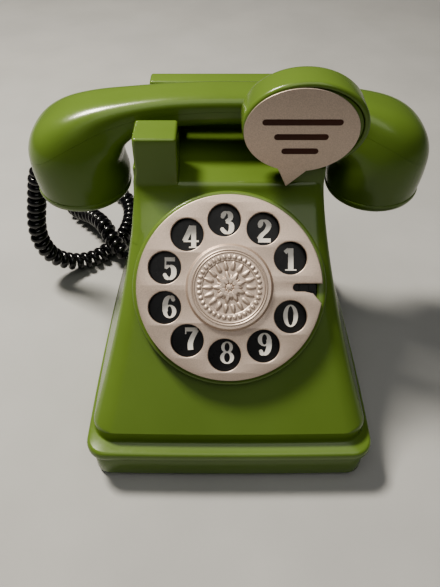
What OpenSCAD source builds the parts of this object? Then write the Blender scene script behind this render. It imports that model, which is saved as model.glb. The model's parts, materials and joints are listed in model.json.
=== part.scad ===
// Corded desk phone with a rotary dial, a cradle handset and a speech-bubble sign.
// Origin: on the table, under the middle of the base. +X right, +Y to the rear, +Z up.

/* [Base] */
// Width across the lip of the base
base_w = 153; // [150:0.5:156]
// Depth of the base, front to back
base_d = 174; // [172:0.5:176]
// Height of the ledge that runs round the base
ledge_z = 27; // [26:0.5:28]
// Thickness of the moulded walls
wall = 2.5; // [2:0.1:2.6]

/* [Body] */
// Slope of the dial face
face_angle = 44.5; // [43:0.1:45]
// Height of the saddle floor between the cradle arms
saddle_z = 129; // [128:0.5:130]
// Height of the cradle floor that carries the handle
cradle_z = 137.5; // [136:0.1:138]
// Height of the left front post
post_z = 154; // [150:0.5:156]
// Height of the wall behind the handle
rear_wall_z = 158; // [156:0.5:159]

/* [Dial] */
// Diameter of the finger wheel
wheel_d = 95; // [92:0.5:96]
// Diameter of a finger hole
finger_hole_d = 16.8; // [15:0.1:17]
// Radius of the circle of finger holes
finger_ring_r = 34.5; // [34:0.1:35]
// Diameter of the raised hub
hub_d = 44.7; // [43:0.1:46]
// Height of a numeral
numeral_h = 11.6; // [9:0.1:12]

/* [Sign] */
// Width of the oval sign drum
drum_w = 61; // [58:0.5:61]
// Height of the oval sign drum
drum_h = 46; // [44:0.5:47]
// Depth of the sign drum
drum_t = 19; // [18:0.5:19]

/* [Handset] */
// Distance between the centres of the two cups
cup_span = 168; // [168:0.5:170]
// Radius of a cup at its rim
cup_r = 26.5; // [26:0.1:27]

/* [Cord] */
// Outer diameter of the curled cord
cord_d = 13; // [12:0.1:13]

/* [Hidden] */
$fn = 64;
green = "#6b9a24";
dark = "#161616";
silver = "#b9aeaa";
steel = "#a9adb0";
brass = "#b5934a";

// Base
foot_h = 2;
tray_z = 20.5;
tray_inset = 2.5;
front_r = 11;
rear_r = 32;
rear_inset = 4;
skirt_y = -79;
skirt_z = 35;
body_rear_y = 80;
screw_len = 13;
screw_places = [[-67.2, -64.3], [67.2, -64.3], [-62.8, 54], [62.8, 54]];

// Dial
dial_y = -31;
dial_z = 95;
face_drop = 9.6;
wheel_t = 2.5;
plate_top = -5;
plate_t = 1.2;
ring_top = -3.2;
ring_r = 50;
bore_r = 45;
hole_step = 34.3;
first_hole = 25.7;
print_shift = 1.3;
shaft_r = 3;
fit = 0.05;
frame_low = -17.2;
gear_z = -20.6;
gear_t = 2.4;
tooth_m = 0.8;
gear_teeth = 60;
pinion_teeth = 20;
mesh_d = (gear_teeth + pinion_teeth) * tooth_m / 2 + 0.15;
governor_angle = -120;
governor_x = mesh_d * cos(governor_angle);
governor_y = mesh_d * sin(governor_angle);

// Cradle
handle_y = 48.5;
arm_in = 27;
arm_out = 49.5;
post_in = 26.2;
post_out = 48.4;
front_y = 13;
notch_front_y = 31.7;
rear_wall_y = 65;
rear_wall_t = 11;
rear_wall_x = 43.5;
plunger_x = 38;
plunger_r = 3;
plunger_top = 141.2;
hook_bar_z = 108;
hook_bar_t = 3;

// Sign
drum_x = 36;
drum_z = 162;
drum_y = 8;
tongue_in = 29;
tongue_out = 43;
tongue_y = 14;

// Jacks
corner_angle = 140;
jack_z = 11.5;
line_jack_x = 24;

// Handset outline, from the middle of the handle to the rim of a cup.
// Each station is [outer x, outer z, inner x, inner z, half depth, roundness].
// A roundness of 1 is an oval section, and less than 1 is squarer.
cup_x = cup_span / 2;
rim_z = 106;
cap_z = 97.5;
stations = [
    [0, 163, 0, 146, 12.5, 0.6],
    [28, 162.2, 27, 144.2, 12.5, 0.6],
    [52, 160, 45, 141, 14, 0.6],
    [74, 157, 54.5, 135.5, 17.5, 0.64],
    [92, 151.8, 58, 129, 22, 0.7],
    [104, 144, 59.5, 124, 25, 0.78],
    [110.5, 133, 58.5, 119, 26.8, 0.88],
    [cup_x + 27.8, 120, cup_x - 27, 113, 27.2, 0.96],
    [cup_x + cup_r, rim_z, cup_x - cup_r, rim_z, cup_r, 1]
];

// Cord route, from the handset plug to the base plug
socket_from = [-101, 58.5, 127];
socket_dir = [-0.5, 0.3, -0.81];
cord_route = [
    [-117, 68, 101], [-121.5, 71, 87], [-126, 72, 70], [-129.5, 72, 54], [-130, 72.5, 38], [-125, 75, 22],
    [-114, 81, 11], [-101, 88.5, 7], [-90, 99, 7], [-82, 113, 7], [-78, 131, 7], [-79, 150, 7],
    [-87, 168, 7], [-102, 178, 7], [-118, 175, 7], [-127, 163, 7], [-125, 149, 8.5], [-115.5, 138, 12],
    [-106, 127.5, 17], [-98, 116.5, 21], [-91, 105, 22.5], [-84, 94.5, 18], [-76, 85, 12.5]
];

// ---------- outlines ----------

function arc(cx, cy, r, from, to, n = 10) =
    [for (i = [0:n]) let (a = from + (to - from) * i / n) [cx + r * cos(a), cy + r * sin(a)]];

function mirrored(half) =
    concat(half, [for (i = [len(half) - 1:-1:0]) [-half[i].x, half[i].y]]);

// Plan of the base: straight sides, small front corners, a narrower rounded rear
function base_plan(inset) =
    let (w = base_w / 2, d = base_d / 2)
    mirrored(concat(
        arc(w - front_r, -d + front_r, front_r - inset, -90, 0, 8),
        [[w - inset, 4], [w - 1.4 - inset, 32]],
        arc(w - rear_inset - rear_r, d - rear_r, rear_r - inset, 0, 90, 16)
    ));

// Plan that trims the upper body
function body_plan(inset) =
    let (w = 73, r = 28, d = body_rear_y)
    mirrored(concat(
        arc(w - 10, skirt_y + 10, 10 - inset, -90, 0, 8),
        [[w - inset, 0], [w - 3 - inset, 34]],
        arc(w - 4.5 - r, d - r, r - inset, 0, 90, 12)
    ));

// Half width of the body at a height: a concave flare towards the base
function flare(z) = let (s = max(0, (126 - z) / 92)) 50 + 22.5 * pow(s, 1.6);

// Side view of the body as [y, z]
function body_side(inset) =
    let (run = 1 / tan(face_angle))
    [
        [skirt_y + inset, ledge_z - 10],
        [skirt_y + inset, skirt_z - inset * 0.4],
        [skirt_y + (105 - skirt_z) * run + inset * 1.4, 105],
        [skirt_y + 78.5 + inset * 1.3, 113],
        [skirt_y + 84.5 + inset * 1.2, 120.5],
        [skirt_y + 88.5 + inset, 126 - inset * 0.5],
        [skirt_y + 91 + inset, saddle_z - inset],
        [body_rear_y - 3 - inset, saddle_z - inset],
        [body_rear_y - inset, ledge_z - 10]
    ];

function oval(w, h, n = 48) =
    [for (i = [0:n - 1]) let (a = 360 * i / n) [w / 2 * cos(a), h / 2 * sin(a)]];

// ---------- shared modules ----------

module at_dial() {
    translate([0, dial_y, dial_z]) rotate([face_angle, 0, 0]) children();
}

// Solid between two heights of the dial frame
module slab(r, low, high) {
    translate([0, 0, low]) cylinder(r = r, h = high - low);
}

module ring(r_out, r_in, low, high) {
    difference() {
        slab(r_out, low, high);
        slab(r_in, low - 1, high + 1);
    }
}

// Places children with local +Y pointing out of the rear, at the rounded rear-left corner
module at_corner() {
    r = rear_r - tray_inset;
    cx = -(base_w / 2 - rear_inset - rear_r);
    cy = base_d / 2 - rear_r;
    translate([cx + r * cos(corner_angle), cy + r * sin(corner_angle), jack_z])
        rotate([0, 0, corner_angle - 90]) children();
}

module in_drum() {
    translate([drum_x, drum_y, drum_z]) rotate([90, 0, 0]) mirror([0, 0, 1]) children();
}

// Round screw along +Z: the top of its head is at the origin
module screw(head_r, head_h, shank_r, length) {
    difference() {
        union() {
            translate([0, 0, -head_h]) cylinder(r = head_r, h = head_h);
            translate([0, 0, -length]) cylinder(r = shank_r, h = length - head_h);
        }
        translate([-head_r * 0.7, -0.35, -0.6]) cube([head_r * 1.4, 0.7, 1]);
        translate([-0.35, -head_r * 0.7, -0.6]) cube([0.7, head_r * 1.4, 1]);
    }
}

// ---------- base ----------

module base_tray() color(green) {
    difference() {
        translate([0, 0, foot_h]) linear_extrude(tray_z - foot_h) polygon(base_plan(tray_inset));
        translate([0, 0, foot_h + wall]) linear_extrude(tray_z) polygon(base_plan(tray_inset + wall));
        for (p = screw_places) translate([p.x, p.y, 0]) {
            cylinder(r = 1.7, h = 12);
            cylinder(r = 3.4, h = foot_h + 1.2);
        }
        at_corner() translate([-5.5, -20, -4.5]) cube([11, 40, 9]);
        translate([line_jack_x - 6.5, base_d / 2 - 20, jack_z - 5.5]) cube([13, 40, 11]);
    }
    for (p = screw_places) translate([p.x, p.y, foot_h + wall]) difference() {
        cylinder(r = 4.5, h = 3);
        translate([0, 0, -1]) cylinder(r = 1.7, h = 5);
    }
}

module rubber_feet() color(dark) {
    for (x = [-60, 60], y = [-46, 38]) translate([x, y, 0]) {
        cylinder(r1 = 5.4, r2 = 6, h = foot_h);
    }
}

module base_screws() color(steel) {
    for (p = screw_places) translate([p.x, p.y, foot_h + 0.2]) rotate([180, 0, 0])
        screw(3.2, 1, 1.5, screw_len);
}

module body_solid(inset) {
    intersection() {
        translate([0, 0, -10]) linear_extrude(160) polygon(body_plan(inset));
        rotate([90, 0, 90]) translate([0, 0, -90]) linear_extrude(180) polygon(body_side(inset));
        rotate([90, 0, 0]) translate([0, 0, -100]) linear_extrude(200) polygon(mirrored(concat(
            [[flare(ledge_z - 10) - inset, ledge_z - 10]],
            [for (i = [0:16]) let (z = ledge_z + (saddle_z - ledge_z) * i / 16) [flare(z) - inset, z]],
            [[flare(140) - inset, 140]]
        )));
    }
}

// Front posts, arms and rear wall of the cradle, as blocks
module cradle(inset) {
    low = saddle_z - 6;
    for (side = [-1, 1]) {
        x0 = side < 0 ? -arm_out + inset : arm_in + inset;
        translate([x0, front_y + inset, low])
            cube([arm_out - arm_in - 2 * inset, rear_wall_y + rear_wall_t - front_y - 2 * inset,
                cradle_z - low - inset]);
    }
    // left front post, drafted towards its top
    rotate([90, 0, 90]) translate([0, 0, -post_out + inset]) linear_extrude(post_out - post_in - 2 * inset)
        polygon([[skirt_y + 91 + inset, low], [notch_front_y - inset, low],
            [notch_front_y - 0.5 - inset, post_z - inset], [front_y + 1 + inset, post_z - inset]]);
    // right stem and the tongue that the sign drum slides on
    translate([arm_in + inset, front_y + 2 + inset, low])
        cube([20 - 2 * inset, 14 - 2 * inset, 139 - low - inset]);
    // rear wall
    translate([-rear_wall_x + inset, rear_wall_y + inset, low])
        cube([2 * (rear_wall_x - inset), rear_wall_t - 2 * inset, rear_wall_z - low - inset]);
}

module lip() {
    translate([0, 0, tray_z]) linear_extrude(1) polygon(base_plan(1));
    translate([0, 0, tray_z + 1]) linear_extrude(ledge_z - tray_z - 2.4) polygon(base_plan(0));
    translate([0, 0, ledge_z - 1.4]) linear_extrude(0.8) polygon(base_plan(0.7));
    translate([0, 0, ledge_z - 0.6]) linear_extrude(0.6) polygon(base_plan(1.8));
}

// Lip, body and cradle as one moulded shell, before its holes
module housing_shell() {
    difference() {
        union() {
            lip();
            intersection() {
                body_solid(0);
                translate([-100, -100, ledge_z - 1]) cube(200);
            }
            cradle(0);
        }
        translate([0, 0, tray_z - 1]) linear_extrude(ledge_z - tray_z + 1 - wall)
            polygon(base_plan(tray_inset + wall));
        body_solid(wall);
        cradle(wall);
    }
}

module upper_housing() color(green) difference() {
    union() {
        housing_shell();
        // guides of the plungers
        for (side = [-1, 1]) translate([side * plunger_x, handle_y, cradle_z - 14])
            cylinder(r = 5.5, h = 12.5);
        // tongue inside the sign drum
        translate([tongue_in, tongue_y, 138])
            cube([tongue_out - tongue_in, drum_y + drum_t - wall - tongue_y, 14]);
        // screw bosses, down to the tray
        for (p = screw_places) translate([p.x, p.y, foot_h + wall + 3]) cylinder(r = 4, h = 26.5);
    }
    at_dial() {
        slab(bore_r, -30, 5);
        slab(ring_r, -face_drop, 5);
    }
    for (side = [-1, 1]) translate([side * plunger_x, handle_y, cradle_z - 20])
        cylinder(r = plunger_r + fit, h = 30);
    for (z = [4, 10]) translate([tongue_in + 7, tongue_y + 4, 138 + z]) rotate([-90, 0, 0])
        cylinder(r = 1.2, h = 20);
    for (p = screw_places) translate([p.x, p.y, foot_h]) cylinder(r = 1.5, h = screw_len + 1);
    // slot of the ringer switch and the sound slots, in the rear
    translate([-42, body_rear_y - 14, 44]) cube([16, 20, 6]);
    for (i = [0:4]) translate([-15, body_rear_y - 14, 62 + 6 * i]) cube([30, 20, 2.5]);
}

module line_jack() color(dark) {
    translate([line_jack_x, base_d / 2 - tray_inset, jack_z]) difference() {
        translate([-6.5, -15, -5.5]) cube([13, 15, 11]);
        translate([-4.8, -11, -3.4]) cube([9.6, 12, 6.4]);
        translate([-2, -11, 2]) cube([4, 12, 2.4]);
    }
}

module cord_jack() color(dark) {
    at_corner() difference() {
        translate([-5.5, -13, -4.5]) cube([11, 12.6, 9]);
        translate([-3.9, -9, -3.1]) cube([7.8, 12, 6.2]);
    }
}

module ringer_switch() color(dark) {
    translate([-37.7, body_rear_y - 9, 44.3]) cube([5, 7, 5.4]);
    translate([-36.2, body_rear_y - 2, 45.4]) cube([2, 3, 3.2]);
}

module circuit_board() color("#1f6b3a") {
    translate([-50, -40, foot_h + wall + 5]) difference() {
        cube([100, 76, 1.6]);
        for (x = [5, 95], y = [5, 71]) translate([x, y, -1]) cylinder(r = 1.6, h = 4);
    }
    for (x = [-45, 45], y = [-35, 31]) translate([x, y, foot_h + wall]) difference() {
        cylinder(r = 3, h = 5);
        translate([0, 0, 1]) cylinder(r = 1, h = 5);
    }
}

module board_parts() color(dark) {
    top = foot_h + wall + 6.6;
    translate([-12, -20, top]) cube([24, 9, 3.4]);
    translate([-34, 6, top]) cube([14, 11, 3]);
    for (x = [-38, -26, 22, 32]) translate([x, -24, top]) cylinder(r = 3.2, h = 9);
    for (i = [0:5]) translate([-2 + 6 * i, 4, top]) cube([2.4, 7, 2.2]);
    translate([18, 14, top]) cube([12, 12, 8]);
}

// Small speaker behind the rear grille, on its own ring
module ringer_speaker() color(dark) {
    translate([0, body_rear_y - 7.5, 76]) rotate([90, 0, 0]) {
        cylinder(r = 20, h = 4);
        translate([0, 0, 4]) cylinder(r1 = 16, r2 = 9, h = 6);
        translate([0, 0, 10]) cylinder(r = 9, h = 5);
    }
}

// ---------- dial ----------

module dial_cup() color(green) at_dial() {
    difference() {
        union() {
            ring(ring_r, bore_r, -face_drop, ring_top - 0.8);
            ring(ring_r - 0.8, bore_r, ring_top - 0.8, ring_top);
            slab(bore_r, -face_drop, plate_top - plate_t);
            ring(bore_r - 0.1, 41, -15, -face_drop);
        }
        slab(6, -30, 5);
        for (i = [0:2]) rotate([0, 0, 90 + 120 * i]) translate([38, 0, -20]) cylinder(r = 1.6, h = 20);
    }
}

module dial_screws() color(steel) at_dial() {
    for (i = [0:2]) rotate([0, 0, 90 + 120 * i]) translate([38, 0, frame_low - 1.2])
        rotate([180, 0, 0]) screw(3, 1.2, 1.6, 11.5);
}

module number_plate() color(dark) at_dial() ring(bore_r - 0.3, 6, plate_top - plate_t, plate_top);

// A pen stroke whose width grows where it runs up or down, as in a fat-face numeral
thin = 0.07;
thick = 0.24;
function curve(p, n = 4) = [for (i = [0:len(p) - 2], k = [0:n - 1]) let (
        a = p[max(i - 1, 0)], b = p[i], c = p[i + 1], d = p[min(i + 2, len(p) - 1)], t = k / n)
        0.5 * (2 * b + (c - a) * t + (2 * a - 5 * b + 4 * c - d) * t * t
            + (3 * b - a - 3 * c + d) * t * t * t)];
function with_end(p, n = 4) = concat(curve(p, n), [p[len(p) - 1]]);

module pen(p, n = 4) {
    q = with_end(p, n);
    last = len(q) - 1;
    side = [for (i = [0:last]) let (
            d = q[min(i + 1, last)] - q[max(i - 1, 0)], u = d / norm(d),
            w = (thin + (thick - thin) * abs(u.y)) / 2) [q[i], [-u.y * w, u.x * w]]];
    for (i = [0:last - 1])
        polygon([side[i][0] + side[i][1], side[i + 1][0] + side[i + 1][1],
            side[i + 1][0] - side[i + 1][1], side[i][0] - side[i][1]]);
}

module bowl(x, y, w, h, heavy) {
    difference() {
        translate([x, y]) polygon(oval(w, h, 28));
        translate([x, y]) polygon(oval(w - 2 * heavy, h - 2 * thin, 28));
    }
}

module bar(x0, y0, x1, y1) {
    translate([x0, y0]) square([x1 - x0, y1 - y0]);
}

module dot(x, y) {
    translate([x, y]) circle(r = 0.09, $fn = 16);
}

module six() {
    bowl(0, -0.2, 0.6, 0.6, 0.19);
    pen([[0.16, 0.37], [0.04, 0.465], [-0.12, 0.36], [-0.2, 0.12], [-0.2, -0.2]]);
    dot(0.16, 0.33);
}

module numeral(n) {
    if (n == 0) bowl(0, 0, 0.66, 1, 0.2);
    if (n == 1) {
        bar(-0.11, -0.48, 0.13, 0.5);
        bar(-0.24, -0.5, 0.26, -0.44);
        pen([[-0.25, 0.3], [-0.08, 0.45]], 1);
    }
    if (n == 2) {
        pen([[-0.2, 0.26], [-0.12, 0.44], [0.04, 0.46], [0.19, 0.28], [0.1, 0.04], [-0.12, -0.18],
            [-0.24, -0.36]]);
        bar(-0.28, -0.5, 0.28, -0.32);
        dot(-0.2, 0.24);
    }
    if (n == 3) {
        pen([[-0.19, 0.3], [-0.06, 0.465], [0.12, 0.4], [0.15, 0.2], [-0.04, 0.04]]);
        pen([[-0.04, 0.04], [0.18, -0.06], [0.18, -0.34], [0, -0.465], [-0.2, -0.32]]);
        dot(-0.19, 0.27);
        dot(-0.21, -0.29);
    }
    if (n == 4) {
        bar(0, -0.48, 0.22, 0.5);
        bar(-0.34, -0.24, 0.34, -0.16);
        bar(-0.1, -0.5, 0.32, -0.44);
        pen([[-0.3, -0.2], [0.02, 0.48]], 1);
    }
    if (n == 5) {
        bar(-0.22, 0.32, 0.24, 0.5);
        bar(-0.22, 0, -0.15, 0.4);
        pen([[-0.19, 0.03], [0, 0.12], [0.17, 0], [0.17, -0.3], [-0.02, -0.465], [-0.2, -0.34]]);
        dot(-0.21, -0.29);
    }
    if (n == 6) six();
    if (n == 7) {
        bar(-0.28, 0.32, 0.28, 0.5);
        pen([[0.24, 0.4], [0.06, 0.08], [-0.04, -0.2], [-0.03, -0.5]]);
        bar(-0.28, 0.2, -0.22, 0.5);
    }
    if (n == 8) {
        bowl(0, 0.24, 0.52, 0.52, 0.15);
        bowl(0, -0.22, 0.62, 0.56, 0.18);
    }
    if (n == 9) rotate(180) six();
}

module number_print() color("white") at_dial() {
    for (i = [0:9]) {
        a = first_hole + hole_step * i;
        r = finger_ring_r - 0.9;
        translate([r * cos(a) + print_shift, r * sin(a), plate_top]) linear_extrude(0.3) scale(numeral_h)
            numeral((i + 1) % 10);
    }
}

module finger_stop() color(dark) at_dial() {
    translate([36, -1.7, plate_top]) cube([8, 3.4, 1.2]);
    translate([41, -1.7, plate_top]) cube([3, 3.4, 2]);
}

// Three posts carry the mechanism plate behind the cup
module dial_frame() color(steel) at_dial() {
    difference() {
        union() {
            slab(40.5, frame_low, frame_low + 1.4);
            for (i = [0:2]) rotate([0, 0, 90 + 120 * i]) translate([38, 0, frame_low])
                cylinder(r = 2.3, h = -frame_low - face_drop);
        }
        slab(6, -30, 5);
        for (i = [0:2]) rotate([0, 0, 90 + 120 * i]) translate([38, 0, -20]) cylinder(r = 1.6, h = 20);
        translate([governor_x, governor_y, -20]) cylinder(r = 1.5 + fit, h = 10);
    }
}

module dial_bush() color(brass) at_dial() {
    difference() {
        slab(6, frame_low, plate_top);
        slab(shaft_r + fit, -30, 5);
    }
}

// Edge of a flat spiral strip: e is the distance from its middle line
function spiral(r0, pitch, turns, e) =
    let (n = 28 * turns)
    [for (i = [0:n]) let (a = 360 * turns * i / n, r = r0 + pitch * a / 360 + e) [r * cos(a), r * sin(a)]];

function reversed(p) = [for (i = [len(p) - 1:-1:0]) p[i]];

// Flat spiral spring between the shaft and the frame
module return_spring() color(steel) at_dial() {
    translate([0, 0, -25]) linear_extrude(3)
        polygon(concat(spiral(4.2, 2, 5, 0.3), reversed(spiral(4.2, 2, 5, -0.3))));
}

module pulse_contacts() color(brass) at_dial() {
    for (i = [0:1]) translate([24, 14 + 3 * i, -21.4]) cube([12, 0.5, 4.2]);
    translate([33, 12.5, -23.4]) cube([5, 6.5, 6.2]);
}

module toothed(teeth, thickness) {
    pitch_r = teeth * tooth_m / 2;
    step = 360 / teeth;
    flanks = [[-0.3, -0.95], [-0.13, 0.62], [0.13, 0.62], [0.3, -0.95]];
    linear_extrude(thickness) polygon([for (i = [0:teeth - 1], k = flanks)
        let (a = step * (i + k[0]), r = pitch_r + k[1]) [r * cos(a), r * sin(a)]]);
}

module drive_gear() color(brass) at_dial() {
    difference() {
        union() {
            translate([0, 0, gear_z]) toothed(gear_teeth, gear_t);
            slab(6, gear_z, frame_low - 0.2);
        }
        slab(shaft_r, -40, 5);
        for (i = [0:5]) rotate([0, 0, 60 * i + 30]) translate([14.5, 0, -40]) cylinder(r = 5, h = 40);
    }
}

module dial_shaft() color(steel) at_dial() {
    slab(shaft_r, -26, -0.4);
}

module governor_bracket() color(steel) at_dial() {
    difference() {
        union() {
            translate([governor_x, governor_y, -37.5]) cylinder(r = 13, h = 1.5);
            rotate([0, 0, governor_angle]) for (y = [-12, 12])
                translate([mesh_d + 2, y, -37.5]) cylinder(r = 2.2, h = 20.3);
        }
        translate([governor_x, governor_y, -50]) cylinder(r = 1.5 + fit, h = 20);
    }
}

module governor_drum() color(brass) at_dial() translate([governor_x, governor_y, 0]) {
    difference() {
        slab(9.4, -36, -27);
        slab(8.4, -34.8, -20);
        slab(1.5 + fit, -50, 0);
    }
}

module governor_pinion() color(brass) at_dial() translate([governor_x, governor_y, 0]) {
    rotate([0, 0, governor_angle + 180 + 180 / pinion_teeth]) translate([0, 0, gear_z - 0.4])
        toothed(pinion_teeth, gear_t + 0.8);
    slab(1.5, -39, gear_z - 0.2);
    slab(1.5, -18, -14);
}

module governor_weights() color(steel) at_dial() translate([governor_x, governor_y, 0]) {
    difference() {
        union() {
            slab(3.4, -34, -28);
            for (a = [0, 180]) rotate([0, 0, a]) translate([2, -1.4, -32.5]) cube([5.6, 2.8, 3]);
        }
        slab(1.5, -50, 0);
    }
}

module wheel_outline() {
    notch_in = 33.5;
    difference() {
        circle(r = wheel_d / 2, $fn = 96);
        for (i = [0:9]) rotate(first_hole + hole_step * i) translate([finger_ring_r, 0])
            circle(r = finger_hole_d / 2);
        polygon([[notch_in, -2], [notch_in, 2], [60, 2], [60, -9], [wheel_d / 2 - 5, -2.6],
            [wheel_d / 2 - 8, -2]]);
    }
}

module finger_wheel() color(silver) at_dial() {
    difference() {
        union() {
            translate([0, 0, -wheel_t]) linear_extrude(wheel_t - 0.5) wheel_outline();
            translate([0, 0, -0.5]) linear_extrude(0.5) intersection() {
                wheel_outline();
                circle(r = wheel_d / 2 - 0.5, $fn = 96);
            }
            slab(5.5, plate_top + 0.15, -wheel_t);
        }
        slab(shaft_r, -10, -0.4);
    }
}

// Raised hub with a plain bead ring and a rosette
module hub_medallion() color(silver) at_dial() {
    slab(hub_d / 2, 0, 1.4);
    slab(hub_d / 2 - 0.8, 1.4, 2);
    ring(19, 18, 2, 2.4);
    for (i = [0:35]) rotate([0, 0, 10 * i]) translate([16.4, 0, 1.9]) cylinder(r = 0.6, h = 0.5, $fn = 16);
    for (i = [0:7]) rotate([0, 0, 45 * i]) translate([7, 0, 1.9]) cylinder(r = 2.6, h = 0.5);
    slab(3, 1.9, 2.6);
}

// ---------- hook switch ----------

module hook_plungers() color(dark) {
    for (side = [-1, 1]) translate([side * plunger_x, handle_y, hook_bar_z + hook_bar_t])
        cylinder(r = plunger_r, h = plunger_top - hook_bar_z - hook_bar_t);
}

module hook_bar() color(steel) {
    translate([-43, handle_y - 4, hook_bar_z]) cube([86, 8, hook_bar_t]);
}

module hook_springs() color(steel) {
    for (side = [-1, 1]) translate([side * plunger_x, handle_y, 97]) difference() {
        cylinder(r = 3.6, h = hook_bar_z - 97);
        translate([0, 0, -1]) cylinder(r = 2.6, h = 20);
    }
}

module hook_bracket() color(steel) {
    translate([-44, handle_y - 6, 95]) cube([88, 12, 2]);
    for (side = [-1, 1]) translate([side * 45.5 - 1.5, handle_y - 6, 95]) cube([3, 12, 24]);
    for (side = [-1, 1]) translate([side * plunger_x, handle_y, 97]) cylinder(r = 2.4, h = 5);
}

module hook_switch() color(dark) {
    translate([-10, handle_y - 3.5, 97]) cube([20, 7, 8]);
    translate([-7, handle_y - 2, 105]) cube([3, 4, 2.6]);
}

// ---------- sign ----------

module sign_drum() color(green) {
    difference() {
        in_drum() {
            linear_extrude(1) polygon(oval(drum_w - 2.4, drum_h - 2.4));
            translate([0, 0, 1]) linear_extrude(drum_t - 2) polygon(oval(drum_w, drum_h));
            translate([0, 0, drum_t - 1]) linear_extrude(1) polygon(oval(drum_w - 2.4, drum_h - 2.4));
        }
        in_drum() translate([0, 0, -1]) linear_extrude(drum_t - wall + 1)
            polygon(oval(drum_w - 2 * wall - 1, drum_h - 2 * wall - 1));
        translate([tongue_in, tongue_y, 130])
            cube([tongue_out - tongue_in, drum_y + drum_t - wall - tongue_y, 16]);
        for (z = [142, 148]) translate([tongue_in + 7, 0, z]) rotate([-90, 0, 0]) cylinder(r = 1.4, h = 40);
    }
}

module sign_face() color(green) in_drum() {
    difference() {
        translate([0, 0, 0.6]) linear_extrude(2.4)
            polygon(oval(drum_w - 2 * wall - 1.2, drum_h - 2 * wall - 1.2));
        translate([-3, 0, -1]) cylinder(r = 1.5, h = 6);
    }
}

// Thin plate: an oval with a pointed tail
module bubble_plate() color(silver) translate([34, drum_y, 160.7]) rotate([90, 0, 0]) {
    linear_extrude(0.8) union() {
        polygon(oval(55.2, 43.6));
        polygon([[-10, -18], [-10, -23.2], [-5.2, -30.7], [4, -25.6], [4, -18]]);
    }
    translate([-1, 1.3, -3.4]) cylinder(r = 1.4, h = 3.6);
}

// Plain bars where the printed lines are
module bubble_bars() color(dark) translate([34, drum_y - 0.8, 160.7]) rotate([90, 0, 0]) {
    for (b = [[3.5, 38], [-4.2, 26], [-11.9, 18]])
        translate([-b[1] / 2, b[0], 0]) linear_extrude(0.2) square([b[1], 3.2]);
}

module sign_screws() color(steel) {
    for (z = [142, 148]) translate([tongue_in + 7, drum_y + drum_t + 0.8, z]) rotate([-90, 0, 0])
        screw(2.2, 0.8, 1.15, 8);
}

// ---------- handset ----------

function station_curve(n) = with_end(stations, n);

// All rings from the left cup to the right cup
function handset_rings(n, inset) =
    let (half = station_curve(n), last = len(half) - 1)
    concat(
        [for (i = [last:-1:1]) ring_of(half[i], -1, inset)],
        [for (i = [0:last]) ring_of(half[i], 1, inset)]);

function ring_of(s, side, inset) =
    let (
        outer = [s[0], s[1]], inner = [s[2], s[3]], mid = (outer + inner) / 2, half = (outer - inner) / 2,
        size = norm(half), k = (size - inset) / size, w = s[4] - inset, n = 20, e = s[5]
    )
    [for (i = [0:n - 1]) let (
            a = side * 360 * i / n, c = cos(a), v = sin(a),
            u = sign(c) * pow(abs(c), e) * k, across = sign(v) * pow(abs(v), e) * w)
        [side * (mid.x + half.x * u), handle_y + across, mid.y + half.y * u]];

module lofted(rings) {
    n = len(rings[0]);
    m = len(rings);
    points = [for (r = rings, p = r) p];
    walls = [for (j = [0:m - 2], i = [0:n - 1]) let (k = (i + 1) % n)
        each [[j * n + i, (j + 1) * n + i, (j + 1) * n + k], [j * n + i, (j + 1) * n + k, j * n + k]]];
    polyhedron(points, concat(walls, [[for (i = [0:n - 1]) i]], [[for (i = [n - 1:-1:0]) (m - 1) * n + i]]));
}

// The handset's solid, one rounded slice between each two rings
module handset_solid(inset) {
    rings = handset_rings(2, inset);
    for (i = [0:len(rings) - 2]) hull() lofted([rings[i], rings[i + 1]]);
}

// Everything under the parting line of the two shells
module under_seam(gap) {
    line = [[-116, 122], [-100, 131], [-85, 139.5], [-64, 147.5], [-40, 152.5], [0, 155.5], [40, 152.5],
        [64, 147.5], [85, 139.5], [100, 131], [116, 122]];
    rotate([90, 0, 0]) translate([0, 0, -100]) linear_extrude(120)
        polygon(concat([[-130, 80], [-130, 122 - gap]], [for (p = line) [p.x, p.y - gap]],
            [[130, 122 - gap], [130, 80]]));
}

module handset_bores() {
    for (side = [-1, 1]) translate([side * cup_x, handle_y, rim_z - 8]) cylinder(r = cup_r - wall, h = 16);
    at_socket() cylinder(r = 5, h = 40);
    for (side = [-1, 1]) translate([side * 20, handle_y, 130]) cylinder(r = 1.6, h = 32);
}

module at_socket() {
    yaw = atan2(socket_dir.y, socket_dir.x);
    tilt = acos(socket_dir.z / norm(socket_dir));
    translate(socket_from) rotate([0, tilt, yaw]) children();
}

module handset_upper_shell() color(green) difference() {
    handset_solid(0);
    handset_solid(wall);
    under_seam(0);
    at_socket() cylinder(r = 5, h = 40);
}

module handset_lower_shell() color(green) difference() {
    intersection() {
        handset_solid(0);
        under_seam(0);
    }
    handset_solid(wall);
    handset_bores();
}

// Domed cap with a ring of sound holes
module cap(holes) {
    difference() {
        union() {
            rotate_extrude() polygon(concat([[0, 0], [0, cap_z - rim_z]],
                [for (i = [1:6]) let (a = 15 * i) [(cup_r + 0.5) * sin(a) * 0.4 + (cup_r + 0.5) * 0.6,
                    (cap_z - rim_z + 2) * cos(a) - 2]],
                [[cup_r + 0.5, 0]]));
            rotate_extrude() translate([cup_r - wall - 2.2, 0]) square([2, 5]);
        }
        translate([0, 0, cap_z - rim_z + 2]) cylinder(r = cup_r - wall - 2.2, h = 20);
        for (i = [0:holes - 1]) rotate([0, 0, 360 * i / holes]) translate([9, 0, -20])
            cylinder(r = 1.3, h = 30);
        translate([0, 0, -20]) cylinder(r = 1.3, h = 30);
    }
}

module ear_cap() color(green) translate([cup_x, handle_y, rim_z]) cap(8);

module mouth_cap() color(green) translate([-cup_x, handle_y, rim_z]) cap(6);

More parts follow.
